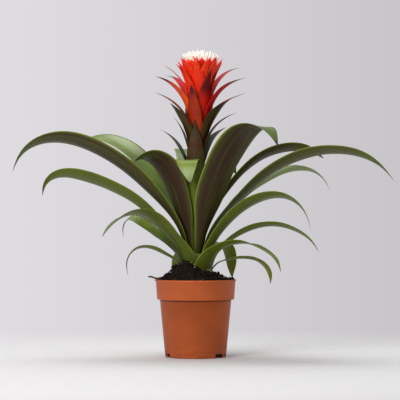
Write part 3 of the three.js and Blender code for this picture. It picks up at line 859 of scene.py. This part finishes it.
def scatter_fibres(settings, tops):
    """Short bent root fibres and pale wood shreds that lie on the surface points."""
    draw = random.Random(23)
    steps, sides = 5, 3
    kinds = (
        ("soil_fibres", settings.fibres, 0.28 * MM, 13 * MM,
         wood_skin("fibre", tint(28, 20, 15), tint(92, 68, 48)), "potting_mix"),
        ("soil_shreds", settings.fibres // 2, 0.75 * MM, 5 * MM,
         wood_skin("shred", tint(120, 96, 70), tint(206, 190, 160)), "bark"),
    )
    for name, count, thick, reach, skin, slot in kinds:
        threads = bmesh.new()
        for _ in range(count):
            spot, normal = draw.choice(tops)
            heading = draw.uniform(0, 2 * math.pi)
            length = reach * draw.uniform(0.4, 1.1)
            curl = draw.uniform(-1.6, 1.6)
            rise = draw.uniform(0.0, 0.35)
            rows = []
            for step in range(steps + 1):
                share = step / steps
                turn = heading + curl * share
                lift = 0.5 * MM + rise * length * math.sin(math.pi * share)
                onward = Vector((math.cos(turn), math.sin(turn), -0.12))
                across = Vector((-math.sin(turn), math.cos(turn), 0))
                centre = spot + normal * lift + onward * length * (share - 0.5)
                radius = thick * (1 - 0.6 * share)
                row = []
                for k in range(sides):
                    around = 2 * math.pi * k / sides
                    side = across * math.cos(around) + Vector((0, 0, math.sin(around)))
                    row.append(threads.verts.new(centre + side * radius))
                rows.append(row)
            for lower, upper in zip(rows, rows[1:]):
                for k in range(sides):
                    n = (k + 1) % sides
                    threads.faces.new((lower[k], lower[n], upper[n], upper[k]))
            threads.faces.new(rows[0][::-1])
            threads.faces.new(rows[-1])
        piece = piece_from(name, threads)
        point_outwards(piece)
        complete(piece, skin)


class BROMELIAD_OT_stalk(bpy.types.Operator):
    """Smooth the stalk, and roughen the sliver of bark on the rim"""
    bl_idname = "bromeliad.stalk"
    bl_label = "Stalk and bark"

    def execute(self, context):
        stem = copy_of_node("stalk", "stalk_stem")
        complete(stem, stalk_skin(), ["stalk"])
        bark = copy_of_node("bark_sliver", "bark_chip")
        subdivide(bark, 3, "SIMPLE")
        low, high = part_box("bark_sliver")
        swell, warp = 0.45 * MM, 1.1 * MM
        pushes = [vert.normal * swell * (1 + noise.noise(vert.co * 400))
                  for vert in bark.data.vertices]
        for vert, push in zip(bark.data.vertices, pushes):
            along = (vert.co.x - low.x) / (high.x - low.x)
            vert.co += push
            vert.co.z += warp * math.sin(6.5 * along + 0.6)
        complete(bark, wood_skin("bark", tint(30, 20, 16), tint(84, 60, 46)),
                 ["bark_sliver"])
        return {"FINISHED"}


class BROMELIAD_OT_stage(bpy.types.Operator):
    """Set the pale floor, the soft lights and the camera"""
    bl_idname = "bromeliad.stage"
    bl_label = "Stage"

    def execute(self, context):
        settings = context.scene.bromeliad_stage
        clear_selection()
        # The floor lies just below the pot, so that the two faces don't flicker.
        bpy.ops.mesh.primitive_circle_add(vertices=96, radius=3.0, fill_type="NGON",
                                          location=(0, 0, -0.4 * MM))
        floor = context.object
        floor.name = "floor"
        hold(floor)
        bpy.ops.object.transform_apply(location=True)
        floor.data.materials.append(floor_paper())
        light_world(settings)
        soft_light("key", (-1.1, -2.0, 1.35), 1.3, settings.key)
        soft_light("top", (-0.3, 0.5, 2.1), 1.6, 0.75 * settings.key)
        soft_light("fill", (1.8, -1.6, 0.8), 1.2, 0.06 * settings.key)
        camera = bpy.data.cameras.new("camera")
        camera.sensor_width = 36
        camera.lens = CAMERA_LENS
        camera.clip_end = 100
        stand = bpy.data.objects.new("camera", camera)
        stand.location = CAMERA_PLACE
        stand.rotation_euler = (math.radians(90), 0, 0)
        context.scene.collection.objects.link(stand)
        context.scene.camera = stand
        context.scene.view_settings.view_transform = "Standard"
        return {"FINISHED"}


def floor_paper():
    """Pale paper that fades out away from the plant."""
    opaque_to, clear_from = 0.42, 1.0
    skin = Finish("floor_paper")
    place = skin.place()
    grain = skin.grain(place, 60, 3.0)
    skin.set(Base_Color=skin.blend(skin.between(grain, 0.3, 0.7), (0.62, 0.608, 0.615),
                                   (0.64, 0.627, 0.634)), Roughness=0.8)
    centred = skin.add("VectorMath", {0: place, 1: (0, 0.2, 0)}, operation="ADD").outputs[0]
    away = skin.add("VectorMath", {0: centred}, operation="LENGTH").outputs["Value"]
    clear = skin.add("BsdfTransparent")
    fade = skin.add("MixShader", {0: skin.between(away, opaque_to, clear_from),
                                  1: skin.shader.outputs[0], 2: clear.outputs[0]})
    output = next(n for n in skin.tree.nodes if n.type == "OUTPUT_MATERIAL")
    skin.tree.links.new(fade.outputs[0], output.inputs["Surface"])
    return skin.material


def light_world(settings):
    """A pale backdrop, painted a little darker to the right as if lit from the left, that lights
    the plant softly.
    """
    world = bpy.data.worlds.new("studio")
    bpy.context.scene.world = world
    world.use_nodes = True
    tree = world.node_tree
    tree.nodes.clear()

    def link(made, key, source):
        tree.links.new(source, made.inputs[key])

    spot = tree.nodes.new("ShaderNodeTexCoord")
    axes = tree.nodes.new("ShaderNodeSeparateXYZ")
    link(axes, 0, spot.outputs["Generated"])
    # Painted light: the backdrop seen by the camera fades from lighter at the left to darker at
    # the right.
    painted_falloff = tree.nodes.new("ShaderNodeMapRange")
    link(painted_falloff, "Value", axes.outputs[0])
    for key, value in (("From Min", -0.09), ("From Max", 0.09), ("To Min", 1.1), ("To Max", 0.84)):
        painted_falloff.inputs[key].default_value = value
    seen = tree.nodes.new("ShaderNodeBackground")
    seen.inputs[0].default_value = solid(settings.backdrop[:])
    link(seen, 1, painted_falloff.outputs[0])
    cast = tree.nodes.new("ShaderNodeBackground")
    cast.inputs[0].default_value = (1, 1, 1, 1)
    cast.inputs[1].default_value = 0.46
    ray = tree.nodes.new("ShaderNodeLightPath")
    both = tree.nodes.new("ShaderNodeMixShader")
    link(both, 0, ray.outputs["Is Camera Ray"])
    link(both, 1, cast.outputs[0])
    link(both, 2, seen.outputs[0])
    output = tree.nodes.new("ShaderNodeOutputWorld")
    link(output, 0, both.outputs[0])


def soft_light(name, place, size, power):
    """A round area lamp."""
    data = bpy.data.lights.new(name, "AREA")
    data.shape = "DISK"
    data.size = size
    data.energy = power
    lamp = bpy.data.objects.new(name, data)
    lamp.location = place
    aim = LIT_POINT - Vector(place)
    lamp.rotation_euler = aim.to_track_quat("-Z", "Y").to_euler()
    bpy.context.scene.collection.objects.link(lamp)


# --------------------------------------------------------------------- panel
class BROMELIAD_PT_build(bpy.types.Panel):
    """Lists each group of settings with the steps that use it"""
    bl_idname = "BROMELIAD_PT_build"
    bl_label = "Potted Bromeliad"
    bl_space_type = "VIEW_3D"
    bl_region_type = "UI"
    bl_category = "Bromeliad"

    def draw(self, context):
        for settings, steps in PARTS:
            box = self.layout.box()
            group = getattr(context.scene, settings)
            for name in group.__annotations__:
                box.prop(group, name)
            for step in steps:
                box.operator(step.bl_idname)


PARTS = (
    ("bromeliad_pot", (BROMELIAD_OT_pot,)),
    ("bromeliad_soil", (BROMELIAD_OT_soil, BROMELIAD_OT_stalk)),
    ("bromeliad_leaf", (BROMELIAD_OT_leaves,)),
    ("bromeliad_head", (BROMELIAD_OT_bracts, BROMELIAD_OT_florets)),
    ("bromeliad_stage", (BROMELIAD_OT_stage,)),
)
GROUPS = {
    "bromeliad_pot": PotSettings, "bromeliad_soil": SoilSettings,
    "bromeliad_leaf": LeafSettings, "bromeliad_head": HeadSettings,
    "bromeliad_stage": StageSettings,
}
CLASSES = (*GROUPS.values(), *(step for _, steps in PARTS for step in steps),
           BROMELIAD_PT_build)


def register():
    for each in CLASSES:
        bpy.utils.register_class(each)
    for name, group in GROUPS.items():
        setattr(bpy.types.Scene, name, PointerProperty(type=group))


def unregister():
    for name in GROUPS:
        delattr(bpy.types.Scene, name)
    for each in reversed(CLASSES):
        bpy.utils.unregister_class(each)


def main():
    register()
    bpy.ops.bromeliad.pot()
    bpy.ops.bromeliad.soil()
    bpy.ops.bromeliad.stalk()
    bpy.ops.bromeliad.leaves()
    bpy.ops.bromeliad.bracts()
    bpy.ops.bromeliad.florets()
    bpy.ops.bromeliad.stage()


if __name__ == "__main__":
    main()
